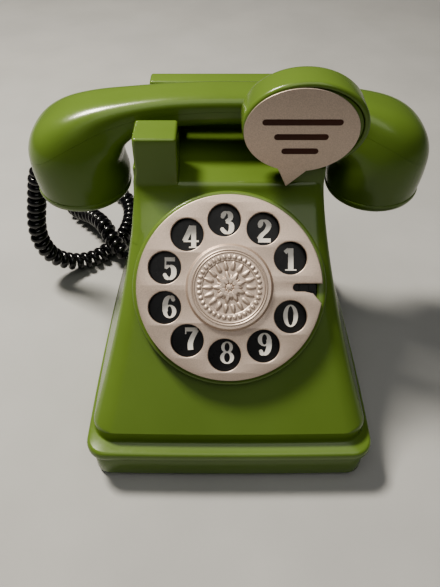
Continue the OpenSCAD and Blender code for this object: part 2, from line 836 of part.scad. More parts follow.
module receiver_capsule() color(steel) translate([cup_x, handle_y, cap_z + 2.2]) {
    cylinder(r = 19, h = 7);
    translate([0, 0, 7]) cylinder(r = 12, h = 4);
}

module transmitter_capsule() color(steel) translate([-cup_x, handle_y, cap_z + 2.2]) {
    cylinder(r = 17, h = 6);
    translate([0, 0, 6]) cylinder(r = 8, h = 2);
}

module handset_weight() color(steel) {
    translate([-14, handle_y - 6, 150]) cube([28, 12, 8]);
}

module handset_screws() color(steel) {
    for (side = [-1, 1]) translate([side * 20, handle_y, 145.4]) rotate([180, 0, 0]) screw(1.5, 1, 1.2, 12);
}

module handset_socket() color(dark) at_socket() {
    difference() {
        cylinder(r = 5, h = 21);
        translate([0, 0, 8]) cylinder(r = 3, h = 20);
    }
}

// ---------- cord ----------

module handset_plug() color(dark) at_socket() {
    translate([0, 0, 9]) cylinder(r = 2.9, h = 12);
    translate([0, 0, 21]) cylinder(r1 = 4.4, r2 = 3.4, h = 10);
}

module base_plug() color(dark) at_corner() {
    translate([-3.7, -8.5, -2.9]) cube([7.4, 9, 5.8]);
    translate([0, 0.5, 0]) rotate([-90, 0, 0]) cylinder(r1 = 3.6, r2 = 3, h = 12);
}

// A tube swept along the route, one ring a few millimetres
module curly_cord() color(dark) {
    sides = 10;
    line = with_end(cord_route, 3);
    last = len(line) - 1;
    rings = [for (i = [0:last]) let (
            d = line[min(i + 1, last)] - line[max(i - 1, 0)], t = d / norm(d),
            s = cross(t, [0.35, -0.85, 0.4]), side = s / norm(s), up = cross(side, t))
        [for (k = [0:sides - 1]) let (a = 360 * k / sides)
            line[i] + cord_d / 2 * (side * cos(a) + up * sin(a))]];
    lofted(rings);
}

base_tray();
rubber_feet();
base_screws();
upper_housing();
line_jack();
cord_jack();
ringer_switch();
circuit_board();
board_parts();
ringer_speaker();
dial_cup();
dial_screws();
number_plate();
number_print();
finger_stop();
dial_frame();
dial_bush();
return_spring();
pulse_contacts();
governor_bracket();
governor_drum();
finger_wheel();
hub_medallion();
dial_shaft();
drive_gear();
governor_pinion();
governor_weights();
hook_plungers();
hook_bar();
hook_springs();
hook_bracket();
hook_switch();
sign_drum();
sign_face();
bubble_plate();
bubble_bars();
sign_screws();
handset_upper_shell();
handset_lower_shell();
ear_cap();
mouth_cap();
receiver_capsule();
transmitter_capsule();
handset_weight();
handset_screws();
handset_socket();
handset_plug();
curly_cord();
base_plug();
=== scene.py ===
"""Looks of the corded desk telephone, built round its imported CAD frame.

Lengths are written in millimetres and turned to metres when a mesh is made.
"""

import json
import math

import bmesh
import bpy
from mathutils import Matrix, Vector


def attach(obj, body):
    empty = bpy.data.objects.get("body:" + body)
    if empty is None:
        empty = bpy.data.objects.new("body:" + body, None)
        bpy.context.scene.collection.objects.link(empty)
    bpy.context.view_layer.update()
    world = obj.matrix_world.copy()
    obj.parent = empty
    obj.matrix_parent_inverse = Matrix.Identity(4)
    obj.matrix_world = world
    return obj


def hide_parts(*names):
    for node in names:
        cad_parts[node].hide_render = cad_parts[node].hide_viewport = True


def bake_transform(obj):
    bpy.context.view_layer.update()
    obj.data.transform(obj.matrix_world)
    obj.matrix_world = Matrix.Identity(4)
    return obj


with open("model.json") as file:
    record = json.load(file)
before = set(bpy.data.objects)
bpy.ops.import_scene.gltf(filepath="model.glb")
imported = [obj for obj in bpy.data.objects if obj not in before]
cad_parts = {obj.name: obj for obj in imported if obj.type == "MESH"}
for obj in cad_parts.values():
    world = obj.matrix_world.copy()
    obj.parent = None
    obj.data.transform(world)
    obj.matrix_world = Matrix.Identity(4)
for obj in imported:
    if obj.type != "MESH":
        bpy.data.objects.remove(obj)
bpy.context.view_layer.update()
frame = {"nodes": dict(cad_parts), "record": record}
nodes = frame["nodes"]
MM = 0.001
WELD = 2e-6


# ---------- camera, lights and floor ----------

def look():
    """The camera looks 45.5 degrees down at the dial, and every light is an area light."""
    scene = bpy.context.scene
    cam = bpy.data.cameras.new("camera")
    cam.lens = 35.88
    cam.sensor_width = 36
    cam.clip_start = 0.01
    eye = bpy.data.objects.new("camera", cam)
    eye.location = (-0.0048, -0.2413, 0.3047)
    eye.rotation_euler = (math.radians(44.5), 0, 0)
    scene.collection.objects.link(eye)
    scene.camera = eye

    def area(name, place, target, size, watts, tint):
        lamp = bpy.data.lights.new(name, "AREA")
        lamp.size = size
        lamp.energy = watts
        lamp.color = tint
        ob = bpy.data.objects.new(name, lamp)
        ob.location = place
        ob.rotation_euler = (Vector(target) - Vector(place)).to_track_quat("-Z", "Y").to_euler()
        scene.collection.objects.link(ob)

    area("key", (-0.42, 0.24, 0.95), (0, 0, 0.08), 0.2, 15, (1.0, 0.94, 0.83))
    area("fill", (0.1, -0.45, 1.2), (0, 0, 0.08), 1.0, 4.6, (1.0, 0.98, 0.94))
    area("front", (-0.2, -1.0, 0.9), (0, 0, 0.08), 0.8, 0.2, (1.0, 0.98, 0.95))

    world = bpy.data.worlds.new("room")
    world.use_nodes = True
    world.node_tree.nodes["Background"].inputs[0].default_value = (0.86, 0.86, 0.84, 1)
    world.node_tree.nodes["Background"].inputs[1].default_value = 0.045
    scene.world = world
    scene.view_settings.view_transform = "AgX"
    scene.view_settings.look = "AgX - Medium High Contrast"


# ---------- materials ----------

def shader(name):
    mat = bpy.data.materials.new(name)
    mat.use_nodes = True
    tree = mat.node_tree
    return mat, tree, tree.nodes["Principled BSDF"]


def noise(tree, scale, detail=2.0, rough=0.5):
    node = tree.nodes.new("ShaderNodeTexNoise")
    coord = tree.nodes.new("ShaderNodeTexCoord")
    tree.links.new(coord.outputs["Object"], node.inputs["Vector"])
    node.inputs["Scale"].default_value = scale
    node.inputs["Detail"].default_value = detail
    node.inputs["Roughness"].default_value = rough
    return node.outputs["Fac"]


def ramp(tree, fac, low, high, at=(0.35, 0.65)):
    node = tree.nodes.new("ShaderNodeValToRGB")
    tree.links.new(fac, node.inputs["Fac"])
    for i, (stop, value) in enumerate(zip(at, (low, high))):
        node.color_ramp.elements[i].position = stop
        node.color_ramp.elements[i].color = (*value, 1)
    return node.outputs["Color"]


def spread(tree, fac, low, high):
    node = tree.nodes.new("ShaderNodeMapRange")
    tree.links.new(fac, node.inputs["Value"])
    node.inputs["To Min"].default_value = low
    node.inputs["To Max"].default_value = high
    return node.outputs["Result"]


def bump(tree, height, strength, distance):
    node = tree.nodes.new("ShaderNodeBump")
    tree.links.new(height, node.inputs["Height"])
    node.inputs["Strength"].default_value = strength
    node.inputs["Distance"].default_value = distance
    return node.outputs["Normal"]


def moulded(name, low, high, rough, coat=0.0):
    """Injection-moulded plastic: faint colour drift, fine handling marks and a slight sink ripple."""
    mat, tree, bsdf = shader(name)
    tree.links.new(ramp(tree, noise(tree, 14, 3), low, high), bsdf.inputs["Base Color"])
    marks = noise(tree, 420, 4, 0.7)
    tree.links.new(spread(tree, marks, rough * 0.7, rough * 1.45), bsdf.inputs["Roughness"])
    tree.links.new(bump(tree, noise(tree, 38, 1), 0.5, 0.00004), bsdf.inputs["Normal"])
    bsdf.inputs["Specular IOR Level"].default_value = 0.35
    bsdf.inputs["Coat Weight"].default_value = coat
    bsdf.inputs["Coat Roughness"].default_value = 0.08
    return mat


def sprayed(name, low, high):
    """Satin silver paint on plastic, with a fine metallic grain."""
    mat, tree, bsdf = shader(name)
    tree.links.new(ramp(tree, noise(tree, 2600, 2), low, high), bsdf.inputs["Base Color"])
    tree.links.new(spread(tree, noise(tree, 900, 3), 0.36, 0.5), bsdf.inputs["Roughness"])
    tree.links.new(bump(tree, noise(tree, 3200, 1), 0.25, 0.00003), bsdf.inputs["Normal"])
    bsdf.inputs["Metallic"].default_value = 0.65
    return mat


def metal(name, low, high, rough):
    """Bare metal with an uneven shine."""
    mat, tree, bsdf = shader(name)
    tree.links.new(ramp(tree, noise(tree, 300, 3), low, high), bsdf.inputs["Base Color"])
    tree.links.new(spread(tree, noise(tree, 700, 3), rough * 0.8, rough * 1.3), bsdf.inputs["Roughness"])
    bsdf.inputs["Metallic"].default_value = 1.0
    return mat


MATERIALS = {
    "green_plastic": moulded("green_plastic", (0.112, 0.176, 0.036), (0.125, 0.195, 0.041), 0.22, 0.15),
    "silver_plastic": sprayed("silver_plastic", (0.52, 0.425, 0.36), (0.66, 0.54, 0.46)),
    "black_plastic": moulded("black_plastic", (0.006, 0.006, 0.007), (0.010, 0.010, 0.011), 0.28),
    "white_print": moulded("white_print", (0.78, 0.76, 0.71), (0.86, 0.84, 0.79), 0.45),
    "brown_print": moulded("brown_print", (0.050, 0.014, 0.008), (0.072, 0.022, 0.012), 0.5),
    "rubber": moulded("rubber", (0.016, 0.016, 0.016), (0.028, 0.028, 0.028), 0.75),
    "steel": metal("steel", (0.50, 0.51, 0.52), (0.63, 0.64, 0.65), 0.3),
    "brass": metal("brass", (0.55, 0.39, 0.16), (0.70, 0.52, 0.24), 0.3),
    "circuit_green": moulded("circuit_green", (0.010, 0.085, 0.026), (0.016, 0.115, 0.036), 0.4),
    "speaker_black": moulded("speaker_black", (0.018, 0.018, 0.018), (0.030, 0.030, 0.030), 0.6),
    "pale_floor": moulded("pale_floor", (0.40, 0.40, 0.395), (0.43, 0.43, 0.425), 0.85),
    "cord_black": moulded("cord_black", (0.005, 0.005, 0.006), (0.009, 0.009, 0.011), 0.2, 0.4),
}


def dress_frame():
    """Gives every CAD node the finish of its slot."""
    for row in frame["record"]["subparts"]:
        ob = nodes[row["node"]]
        ob.data.materials.clear()
        ob.data.materials.append(MATERIALS[row["material_slot"]])
        for face in ob.data.polygons:
            face.material_index = 0


# ---------- mesh helpers ----------

def make(name, points, faces, slot, smooth=40):
    """A mesh object from points in millimetres."""
    mesh = bpy.data.meshes.new(name)
    mesh.from_pydata([tuple(c * MM for c in p) for p in points], [], faces)
    ob = bpy.data.objects.new(name, mesh)
    bpy.context.scene.collection.objects.link(ob)
    finish_mesh(ob, slot, smooth)
    return ob


def finish_mesh(ob, slot, smooth):
    """Welds and closes the mesh, and gives it one material and smooth shading."""
    mesh = ob.data
    form = bmesh.new()
    form.from_mesh(mesh)
    bmesh.ops.remove_doubles(form, verts=form.verts, dist=WELD)
    bmesh.ops.holes_fill(form, edges=[e for e in form.edges if e.is_boundary])
    bmesh.ops.recalc_face_normals(form, faces=form.faces)
    form.to_mesh(mesh)
    form.free()
    mesh.materials.clear()
    mesh.materials.append(MATERIALS[slot])
    mesh.shade_smooth()
    mesh.set_sharp_from_angle(angle=math.radians(smooth))


def loft(rings):
    """Points and faces of a closed solid through rings of equal count."""
    count = len(rings[0])
    points = [p for ring in rings for p in ring]
    faces = [(j * count + i, j * count + (i + 1) % count,
              (j + 1) * count + (i + 1) % count, (j + 1) * count + i)
             for j in range(len(rings) - 1) for i in range(count)]
    faces.append(tuple(range(count)))
    faces.append(tuple(range((len(rings) - 1) * count, len(rings) * count)))
    return points, faces


def arc(cx, cy, r, start, end, n):
    return [(cx + r * math.cos(math.radians(start + (end - start) * i / n)),
             cy + r * math.sin(math.radians(start + (end - start) * i / n))) for i in range(n + 1)]


def apply_modifiers(ob):
    bpy.context.view_layer.update()
    graph = bpy.context.evaluated_depsgraph_get()
    mesh = bpy.data.meshes.new_from_object(ob.evaluated_get(graph))
    ob.modifiers.clear()
    ob.data = mesh


def cut(ob, others, how):
    """Joins or subtracts each of the other meshes, which are then deleted."""
    for other in others:
        mod = ob.modifiers.new("cut", "BOOLEAN")
        mod.operation = how
        mod.solver = "EXACT"
        mod.object = other
        apply_modifiers(ob)
        bpy.data.objects.remove(other)


def rounded_box(name, low, high, radius, slot, steps=4, turn=None):
    form = bmesh.new()
    bmesh.ops.create_cube(form, size=1)
    low, high = Vector(low), Vector(high)
    for v in form.verts:
        v.co = Vector(((low[i] + high[i]) / 2 + v.co[i] * (high[i] - low[i]) for i in range(3)))
    if radius:
        bmesh.ops.bevel(form, geom=form.edges[:], offset=radius, segments=steps, affect="EDGES", profile=0.5)
    if turn:
        bmesh.ops.transform(form, matrix=turn, verts=form.verts)
    points = [tuple(v.co) for v in form.verts]
    faces = [tuple(v.index for v in f.verts) for f in form.faces]
    form.free()
    return make(name, points, faces, slot)


def lathe(name, profile, slot, place=None, steps=96, smooth=35):
    """A turned solid from (radius, height) pairs: the first and last lie on the axis."""
    points, faces = [], []
    inner = profile[1:-1]
    for r, z in inner:
        points += [(r * math.cos(math.tau * i / steps), r * math.sin(math.tau * i / steps), z)
                   for i in range(steps)]
    first, last = len(points), len(points) + 1
    points += [(0, 0, profile[0][1]), (0, 0, profile[-1][1])]
    for j in range(len(inner) - 1):
        faces += [(j * steps + i, j * steps + (i + 1) % steps, (j + 1) * steps + (i + 1) % steps,
                   (j + 1) * steps + i) for i in range(steps)]
    end = (len(inner) - 1) * steps
    faces += [(first, (i + 1) % steps, i) for i in range(steps)]
    faces += [(last, end + i, end + (i + 1) % steps) for i in range(steps)]
    if place:
        points = [tuple(place @ Vector(p)) for p in points]
    return make(name, points, faces, slot, smooth)


def spline_through(points, steps):
    """Catmull-Rom points, with the last point kept."""
    out = []
    for i in range(len(points) - 1):
        a, b, c, d = (Vector(points[max(0, min(len(points) - 1, i + k))]) for k in (-1, 0, 1, 2))
        for k in range(steps):
            t = k / steps
            out.append(0.5 * (2 * b + (c - a) * t + (2 * a - 5 * b + 4 * c - d) * t * t
                              + (3 * b - a - 3 * c + d) * t ** 3))
    return out + [Vector(points[-1])]


# ---------- curled cord ----------

CORD_D = 13.0
WIRE_D = 5.0
CURL_PITCH = 6.3
END_COIL = 0.35
CORD_ROUTE = [
    (-117, 68, 101), (-121.5, 71, 87), (-126, 72, 70), (-129.5, 72, 54), (-130, 72.5, 38), (-125, 75, 22),
    (-114, 81, 11), (-101, 88.5, 7), (-90, 99, 7), (-82, 113, 7), (-78, 131, 7), (-79, 150, 7),
    (-87, 168, 7), (-102, 178, 7), (-118, 175, 7), (-127, 163, 7), (-125, 149, 8.5), (-115.5, 138, 12),
    (-106, 127.5, 17), (-98, 116.5, 21), (-91, 105, 22.5), (-84, 94.5, 18), (-76, 85, 12.5),
]


def even_steps(line, step):
    """Points a fixed distance apart along a polyline."""
    out, carry = [line[0]], 0.0
    for a, b in zip(line, line[1:]):
        length = (b - a).length
        while carry + step <= length:
            carry += step
            out.append(a.lerp(b, carry / length))
        carry -= length
    return out + [line[-1]]


def carried_frames(line):
    """A direction and a side for each point, with no sudden twist."""
    side = Vector((0, 1, 0))
    out = []
    for i, p in enumerate(line):
        along = (line[min(i + 1, len(line) - 1)] - line[max(i - 1, 0)]).normalized()
        side = (side - along * side.dot(along)).normalized()
        out.append((p, along, side))
    return out


def tube(name, line, radius, slot, sides=10):
    rings = []
    for p, along, side in carried_frames(line):
        up = along.cross(side)
        rings.append([tuple(p + (side * math.cos(a) + up * math.sin(a)) * radius)
                      for a in (math.tau * k / sides for k in range(sides))])
    points, faces = loft(rings)
    return make(name, points, faces, slot, 60)


def curled_cord():
    """A wire wound round the route, in narrower turns at both ends."""
    line = even_steps(spline_through(CORD_ROUTE, 12), 0.8)
    length = sum((b - a).length for a, b in zip(line, line[1:]))
    frames = carried_frames(line)
    per_turn = 16
    turns = round(length / CURL_PITCH)
    coil_r = (CORD_D - WIRE_D) / 2
    wire = []
    for i in range(turns * per_turn + 1):
        at = i / (turns * per_turn) * (len(frames) - 1)
        low = min(int(at), len(frames) - 2)
        mix = at - low
        p, along, side = frames[low]
        p = p.lerp(frames[low + 1][0], mix)
        angle = math.tau * i / per_turn
        end = min(1.0, i / per_turn, (turns * per_turn - i) / per_turn)
        reach = coil_r * (END_COIL + (1 - END_COIL) * end)
        wire.append(p + (side * math.cos(angle) + along.cross(side) * math.sin(angle)) * reach)
    cord = tube("curled_cord", wire, WIRE_D / 2, "cord_black")
    route = [tuple(p * MM) for p in line]
    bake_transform(cord)
    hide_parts("curly_cord")
    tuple(route[0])


# ---------- housing and base ----------

BASE_W, BASE_D, LEDGE_Z = 153, 174, 27
SKIRT_Y, SKIRT_Z, SADDLE_Z = -79, 35, 129
FACE_RUN = 1 / math.tan(math.radians(44.5))
BODY_REAR_Y = 80
CROWN = 0.7
DIAL_TURN = Matrix.Translation((0, -31, 95)) @ Matrix.Rotation(math.radians(44.5), 4, "X")


def mirrored(half):
    return half + [(-x, y) for x, y in reversed(half)]


def plan(front, rear, half_front, half_rear, front_r, rear_r, z):
    """A ring at one height: straight sides that draw in to the rear, and rounded corners."""
    flat = half_front - front_r
    half = [(flat * t, front - CROWN * (1 - t * t)) for t in (0.12, 0.35, 0.55, 0.75, 0.9)]
    half += arc(half_front - front_r, front + front_r, front_r, -90, 0, 8)
    side_from, side_to = front + front_r, rear - rear_r
    for i in range(1, 8):
        t = i / 8
        half.append((half_front + (half_rear - half_front) * t * t, side_from + (side_to - side_from) * t))
    half += arc(half_rear - rear_r, rear - rear_r, rear_r, 0, 90, 12)
    half += [((half_rear - rear_r) * 0.6, rear), ((half_rear - rear_r) * 0.2, rear)]
    return [(x, y, z) for x, y in mirrored(half)]


def base_ring(inset, z):
    return plan(-BASE_D / 2 + inset, BASE_D / 2 - inset, BASE_W / 2 - inset, BASE_W / 2 - 4 - inset,
                11 - min(inset, 8), 32 - inset, z)


def flare(z):
    """Half the width of the body's front at a height."""
    return 50 + 22.5 * max(0.0, (126 - z) / 92) ** 1.6


def face_y(z):
    """Front of the body at a height: skirt, sloping dial face, then a shoulder that turns upright."""
    if z <= SKIRT_Z:
        return SKIRT_Y
    if z <= 105:
        return SKIRT_Y + (z - SKIRT_Z) * FACE_RUN
    t = (z - 105) / (SADDLE_Z - 105)
    start = SKIRT_Y + (105 - SKIRT_Z) * FACE_RUN
    end = SKIRT_Y + 91
    lift = (SADDLE_Z - 105) * FACE_RUN
    return (2 * t ** 3 - 3 * t * t + 1) * start + (t ** 3 - 2 * t * t + t) * lift \
        + (3 * t * t - 2 * t ** 3) * end + (t ** 3 - t * t) * 3


def body_ring(inset, z, grow=0.0):
    """A ring of the body at a height, drawn in by inset."""
    half = min(73.0, flare(z))
    rise = (z - LEDGE_Z) / (SADDLE_Z - LEDGE_Z)
    front = face_y(z)
    narrow = 3 - 1.5 * rise
    front_r = max(1.0, 13 - 7 * rise - inset + grow)
    return plan(front + inset - grow, BODY_REAR_Y - 3 * rise - inset + grow, half - inset + grow,
                half - narrow - inset + grow, front_r, 27 - 5 * rise - inset, z)


def body_heights():
    return [31, 33, 34.3, 35, 35.8, 37] + [41 + 5.333 * i for i in range(13)] + \
        [107 + 2 * i for i in range(9)] + [124.5, 125.8]


def housing_outer():
    rings = [base_ring(3, 20.6), base_ring(0.9, 20.7), base_ring(0.25, 21.2), base_ring(0, 22.2),
             base_ring(0, 24.6), base_ring(0.35, 25.8), base_ring(1.0, 26.5), base_ring(2.0, 26.9)]
    rings += [body_ring(0, 27.0, 0.9), body_ring(0, 27.3, 0.45), body_ring(0, 28.0, 0.12), body_ring(0, 29.2)]
    rings += [body_ring(0, z) for z in body_heights()]
    rings += [body_ring(0.15, 126.8), body_ring(0.6, 127.8), body_ring(1.3, 128.5), body_ring(2.2, 128.9),
              body_ring(3.2, 129)]
    return loft(rings)


def housing_inner():
    rings = [base_ring(5, 20), base_ring(5, 24.4), body_ring(2.6, 24.5), body_ring(2.6, 30)]
    rings += [body_ring(2.6, z) for z in body_heights()[1:-3]]
    rings += [body_ring(4, 126.4)]
    return loft(rings)


def dial_cylinder(name, radius, low, high):
    return lathe(name, [(0, low), (radius, low), (radius, high), (0, high)], "green_plastic", DIAL_TURN)


def left_post():
    """The post grows out of the body's front and side with no crease under it."""
    def ring(inset, z):
        root = soft_step((134 - z) / 24)
        proud = 0.12 - 0.5 * soft_step((112 - z) / 6)
        front = (face_y(z) if z < SADDLE_Z else 12.0) - proud + 0.1 * soft_step((z - SADDLE_Z) / 20) + inset
        left = -(48.4 + (flare(z) + proud - 48.4) * soft_step((136 - z) / 9)) + inset
        right, rear = -26.2 - inset, 31.7 - inset
        r = max(0.4, 2.2 + 3.4 * root - inset)
        q = max(0.3, 1.6 - inset)
        corner = arc(left + r, front + r, r, 180, 270, 8) + arc(right - q, front + q, q, 270, 360, 8)
        corner += arc(right - q, rear - q, q, 0, 90, 4) + arc(left + q, rear - q, q, 90, 180, 4)
        return [(x, y, z) for x, y in corner]

    heights = [104 + 2 * i for i in range(24)]
    rings = [ring(0, z) for z in heights]
    rings += [ring(1.6 * (1 - math.cos(math.radians(a))), 152.4 + 1.6 * math.sin(math.radians(a)))
              for a in range(15, 91, 15)]
    return make("left_post", *loft(rings), "green_plastic")


def upper_housing():
    body = make("upper_housing", *housing_outer(), "green_plastic")
    body.name = "phone_housing"
    posts = [
        rounded_box("left_arm", (-49.5, 13, 118), (-27, 76, 137.5), 1.4, "green_plastic"),
        rounded_box("right_arm", (27, 13, 118), (49.5, 76, 137.5), 1.4, "green_plastic"),
        left_post(),
        rounded_box("stem", (27, 15, 118), (47, 29, 139.2), 1.2, "green_plastic"),
        rounded_box("rear_wall", (-43.5, 65, 118), (43.5, 76, 158), 1.6, "green_plastic", 5),
    ]
    cut(body, posts, "UNION")
    holes = [make("hollow", *housing_inner(), "green_plastic"),
             dial_cylinder("dial_pocket", 50.15, -9.6, 8), dial_cylinder("dial_bore", 45, -34, 8)]
    for side in (-1, 1):
        holes.append(lathe("plunger_hole", [(0, 118), (3.05, 118), (3.05, 150), (0, 150)], "green_plastic",
                           Matrix.Translation((side * 38, 48.5, 0))))
    for i in range(5):
        holes.append(rounded_box("slot", (-15, 66, 62 + 6 * i), (15, 90, 64.5 + 6 * i), 0, "green_plastic"))
    holes.append(rounded_box("switch_slot", (-42, 66, 44), (-26, 90, 50), 0, "green_plastic"))
    cut(body, holes, "DIFFERENCE")
    finish_mesh(body, "green_plastic", 38)
    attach(body, "base")
    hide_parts("upper_housing")


def base_tray():
    rings = [base_ring(4.3, 2.0), base_ring(3.4, 2.15), base_ring(2.75, 2.7), base_ring(2.5, 3.6),
             base_ring(2.5, 19.9), base_ring(2.7, 20.3), base_ring(3.0, 20.5)]
    tray = make("tray_shell", *loft(rings), "green_plastic")
    inner = make("tray_hollow", *loft([base_ring(5, 4.5), base_ring(5, 24)]), "green_plastic")
    jack = rounded_box("line_hole", (17.5, 64, 6), (30.5, 104, 17), 0, "green_plastic")
    turn = Matrix.Translation((-63.1, 73.96, 11.5)) @ Matrix.Rotation(math.radians(50), 4, "Z")
    cord_hole = rounded_box("cord_hole", (-5.5, -20, -4.5), (5.5, 20, 4.5), 0, "green_plastic", turn=turn)
    cut(tray, [inner, jack, cord_hole], "DIFFERENCE")
    finish_mesh(tray, "green_plastic", 38)
    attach(tray, "base")
    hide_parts("base_tray")


# ---------- dial ----------

def outline_piece(name, loops, low, high, bevel, slot, place, smooth=35):
    """A flat piece with rounded edges from closed loops of (x, y): inner loops are holes."""
    curve = bpy.data.curves.new(name, "CURVE")
    curve.dimensions = "2D"
    curve.fill_mode = "BOTH"
    for loop in loops:
        spline = curve.splines.new("POLY")
        spline.points.add(len(loop) - 1)
        for point, (x, y) in zip(spline.points, loop):
            point.co = (x, y, 0, 1)
        spline.use_cyclic_u = True
    curve.extrude = (high - low) / 2 - bevel
    curve.bevel_depth = bevel
    curve.bevel_resolution = 3
    curve.offset = -bevel
    temp = bpy.data.objects.new(name, curve)
    bpy.context.scene.collection.objects.link(temp)
    bpy.context.view_layer.update()
    mesh = bpy.data.meshes.new_from_object(temp.evaluated_get(bpy.context.evaluated_depsgraph_get()))
    bpy.data.objects.remove(temp)
    form = bmesh.new()
    form.from_mesh(mesh)
    bmesh.ops.remove_doubles(form, verts=form.verts, dist=0.0005)
    bmesh.ops.transform(form, matrix=place @ Matrix.Translation((0, 0, (low + high) / 2)), verts=form.verts)
    points = [tuple(v.co) for v in form.verts]
    faces = [tuple(v.index for v in f.verts) for f in form.faces]
    form.free()
    return make(name, points, faces, slot, smooth)


WHEEL_R, HOLE_R, HOLE_RING = 47.5, 8.4, 34.5
FIRST_HOLE, HOLE_STEP = 25.7, 34.3


def finger_wheel():
    notch_low, notch_high = -2.0, 2.0
    start = math.degrees(math.asin(notch_high / WHEEL_R))
    rim = arc(0, 0, WHEEL_R, start, 360 - 9.6, 150)
    notch = [(WHEEL_R - 5, -2.9)] + arc(WHEEL_R - 9, -3.4, 1.4, 60, 90, 3) + [(34.3, notch_low)] \
        + arc(34.3, 0, 2, 250, 110, 6) + [(34.3, notch_high)]
    holes = [arc(HOLE_RING * math.cos(a), HOLE_RING * math.sin(a), HOLE_R, 0, 360 - 360 / 48, 47)
             for a in (math.radians(FIRST_HOLE + HOLE_STEP * i) for i in range(10))]
    wheel = outline_piece("wheel_disc", [rim + notch] + holes, -2.5, 0, 0.45, "silver_plastic", DIAL_TURN)
    boss = lathe("wheel_boss", [(0, -4.85), (5.1, -4.85), (5.5, -4.5), (5.5, -2.3), (0, -2.3)],
                 "silver_plastic", DIAL_TURN)
    for piece in (wheel, boss):
        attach(piece, "dial")
        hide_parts("finger_wheel")


def relief(name, height, low_z, radius, slot, place, rings=150, steps=360):
    """A disc whose top follows height(r, angle) above low_z."""
    points = [(0, 0, low_z + height(0, 0))]
    faces = []
    for j in range(1, rings + 1):
        r = radius * j / rings
        for i in range(steps):
            a = math.tau * i / steps
            points.append((r * math.cos(a), r * math.sin(a), low_z + height(r, a)))
    faces += [(0, 1 + i, 1 + (i + 1) % steps) for i in range(steps)]
    for j in range(rings - 1):
        a, b = 1 + j * steps, 1 + (j + 1) * steps
        faces += [(a + i, b + i, b + (i + 1) % steps, a + (i + 1) % steps) for i in range(steps)]
    rim = 1 + (rings - 1) * steps
    foot = len(points)
    points += [(radius * math.cos(math.tau * i / steps), radius * math.sin(math.tau * i / steps), low_z)
               for i in range(steps)]
    faces += [(rim + i, foot + i, foot + (i + 1) % steps, rim + (i + 1) % steps) for i in range(steps)]
    faces.append(tuple(foot + i for i in reversed(range(steps))))
    points = [tuple(place @ Vector(p)) for p in points]
    return make(name, points, faces, slot, 80)


def soft_step(x):
    x = max(0.0, min(1.0, x))
    return x * x * (3 - 2 * x)


def petal(r, angle, count, centre, length, width, turn=0.0):
    """Height, from 0 to 1, of a ring of leaf shapes."""
    step = math.tau / count
    off = (angle - turn + step / 2) % step - step / 2
    across = off * r / width
    along = (r - centre) / length
    return max(0.0, 1 - across * across * (1.6 + along) - along * along)


def medallion_height(r, angle):
    hub = 22.35
    base = 1.9 * soft_step((hub - r) / 1.3) + 0.15
    for bead_r, wide in ((19.1, 0.42), (17.9, 0.35)):
        base += 0.35 * max(0.0, 1 - ((r - bead_r) / wide) ** 2)
    if 13.6 < r < 17.2:
        base += 0.55 * math.sqrt(petal(r, angle, 36, 15.5, 1.15, 1.15))
    field = soft_step((13.9 - r) / 0.5)
    base -= 0.35 * field
    base += 0.75 * math.sqrt(petal(r, angle, 18, 11.0, 2.5, 1.35)) * field
    base += 0.95 * math.sqrt(petal(r, angle, 9, 5.2, 3.2, 1.8, math.tau / 18)) * field
    base += 0.75 * math.sqrt(petal(r, angle, 9, 4.0, 2.6, 0.9)) * field
    base += 0.9 * math.sqrt(max(0.0, 1 - (r / 1.9) ** 2))
    return min(2.55, base)


def medallion():
    piece = relief("hub_rosette", medallion_height, 0, 22.35, "silver_plastic", DIAL_TURN)
    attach(piece, "dial")
    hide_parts("hub_medallion")


def dial_ring():
    profile = [(0, -9.6), (49.6, -9.6), (50, -9.2), (50, -4.4), (49.7, -3.7), (49.0, -3.25),
               (48.2, -3.2), (45.6, -3.2), (45.15, -3.5), (45, -4), (45, -6.2), (0, -6.2)]
    cup = lathe("dial_surround", profile, "green_plastic", DIAL_TURN, 144)
    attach(cup, "base")
    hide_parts("dial_cup")


# ---------- sign ----------

DRUM_X, DRUM_Z, DRUM_W, DRUM_H = 36, 162, 61, 46


def oval_ring(inset, y, n=96):
    w, h = DRUM_W - 2 * inset, DRUM_H - 2 * inset
    return [(DRUM_X + w / 2 * math.cos(a), y, DRUM_Z + h / 2 * math.sin(a))
            for a in (math.tau * i / n for i in range(n))]


def sign():
    section = [(2.9, 24.5), (2.9, 9.0), (2.75, 8.4), (2.4, 8.1), (1.9, 8.0), (1.2, 8.15), (0.5, 8.7),
               (0.1, 9.6), (0, 10.8), (0, 23.5), (0.4, 25.2), (1.4, 26.4), (3.0, 27.0)]
    drum = make("sign_case", *loft([oval_ring(i, y) for i, y in section]), "green_plastic")
    slot = rounded_box("tongue_slot", (29, 14, 130), (43, 24.8, 146), 0, "green_plastic")
    cut(drum, [slot], "DIFFERENCE")
    finish_mesh(drum, "green_plastic", 38)
    panel = ((3.7, 8.6), (3.2, 9.0), (3.2, 11.0))
    face = make("sign_panel", *loft([oval_ring(i, y) for i, y in panel]), "green_plastic")
    for piece, node in ((drum, "sign_drum"), (face, "sign_face")):
        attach(piece, "base")
        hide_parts(node)


PLATE_TURN = Matrix.Translation((34, 8, 160.7)) @ Matrix.Rotation(math.radians(90), 4, "X")


def bubble():
    w, h = 27.6, 21.8
    tail = [(-10, -20.3), (-5.6, -30.2), (-5.2, -30.7), (-4.7, -30.4), (4.2, -21.6)]
    start = math.degrees(math.atan2(tail[-1][1] / h, tail[-1][0] / w))
    end = math.degrees(math.atan2(tail[0][1] / h, tail[0][0] / w))
    oval = [(w * math.cos(math.radians(a)), h * math.sin(math.radians(a)))
            for a in (start + 2 + (360 + end - start - 4) * i / 90 for i in range(91))]
    plate = outline_piece("speech_plate", [oval + tail], 0.0, 0.8, 0.22, "silver_plastic", PLATE_TURN)
    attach(plate, "base")
    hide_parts("bubble_plate")


